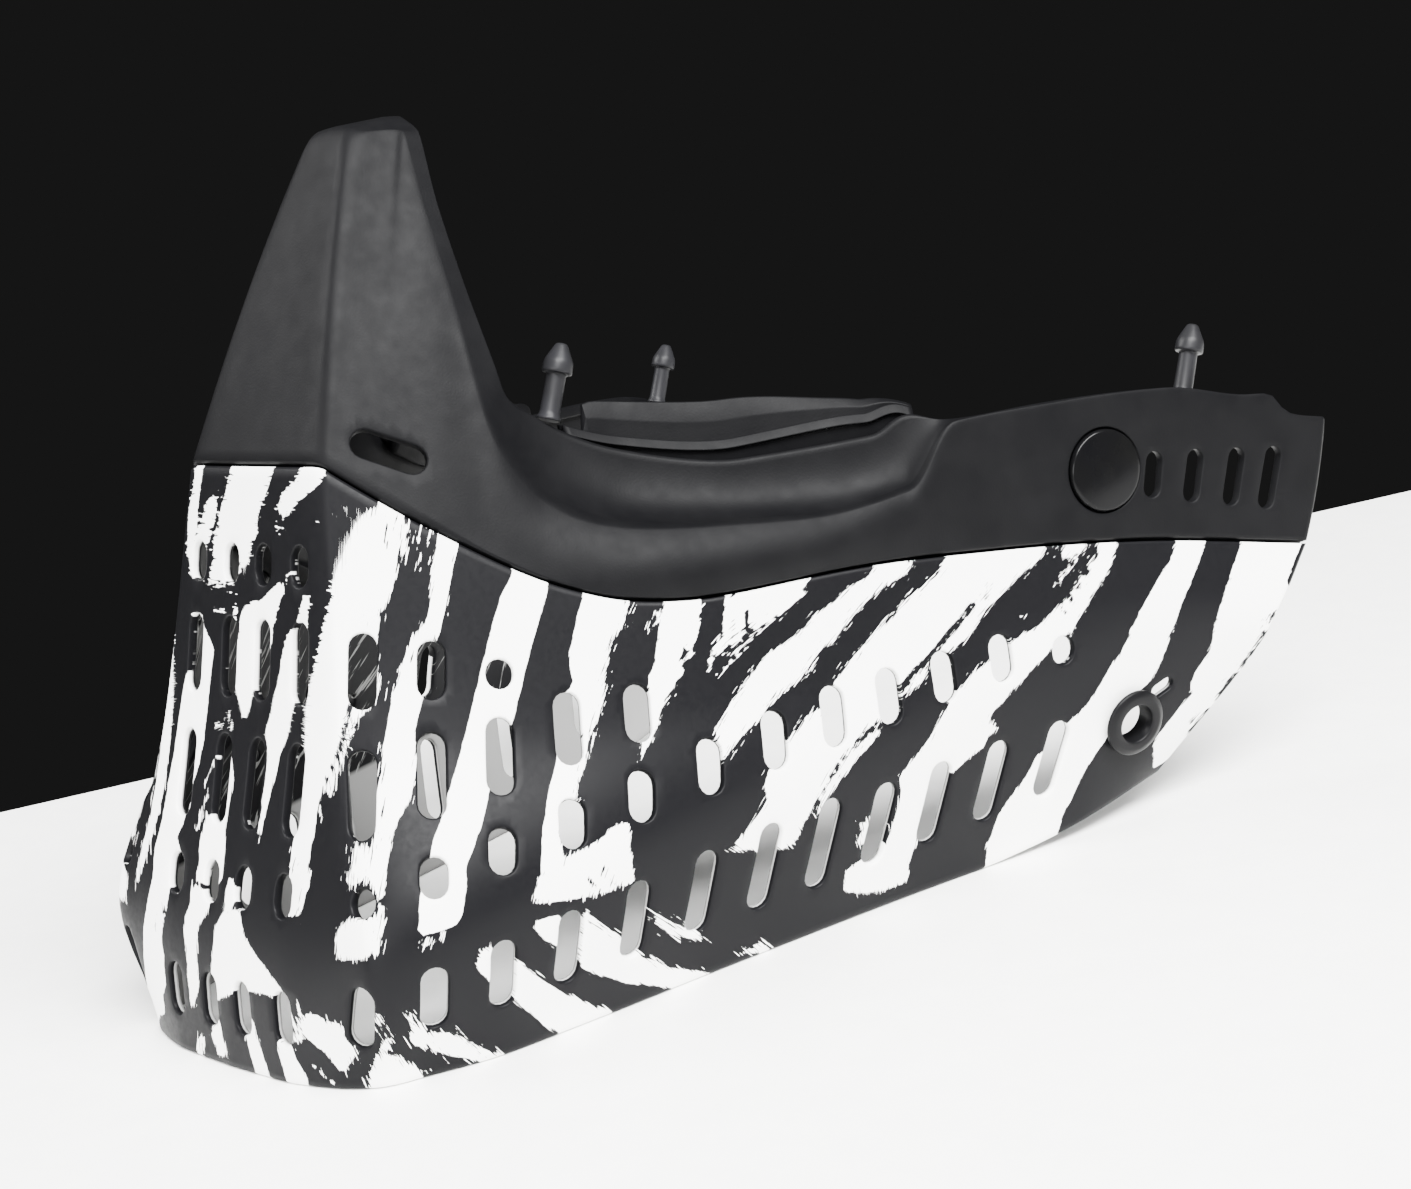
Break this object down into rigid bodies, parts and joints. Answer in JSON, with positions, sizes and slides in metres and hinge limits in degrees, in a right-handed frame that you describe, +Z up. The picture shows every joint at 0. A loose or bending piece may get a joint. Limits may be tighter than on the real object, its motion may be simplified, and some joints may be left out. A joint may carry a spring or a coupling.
{
  "type": "paintball mask",
  "caption": "Lower face shield of a paintball mask: vented striped shell, dark nose and ear moulding, lens seats and pins.",
  "frame": {"origin": "middle of the bounding box at the level of the jaw edge that the shield stands on", "axes": "+Z up, +X the wearer's left, -Y the way the nose points"},
  "size_m": [0.1974, 0.232, 0.1688],
  "materials": {
    "striped_shell": "satin, printed with ragged dark zebra stripes",
    "dark_moulding": "soft satin",
    "dark_seat": "satin",
    "grey_pin": "satin",
    "gloss_black": "polished",
    "ring_black": "gloss"
  },
  "bodies": {
    "root": {"shell": "striped_shell", "upper_moulding": "dark_moulding", "lens_seat_left": "dark_seat", "lens_seat_right": "dark_seat", "front_pin_left": "grey_pin", "front_pin_right": "grey_pin", "rear_tab_left": "dark_seat", "rear_tab_right": "dark_seat", "rear_pin_left": "grey_pin", "rear_pin_right": "grey_pin", "ear_button_left": "gloss_black", "ear_button_right": "gloss_black", "strap_ring_left": "ring_black", "strap_ring_right": "ring_black"}
  },
  "joints": []
}
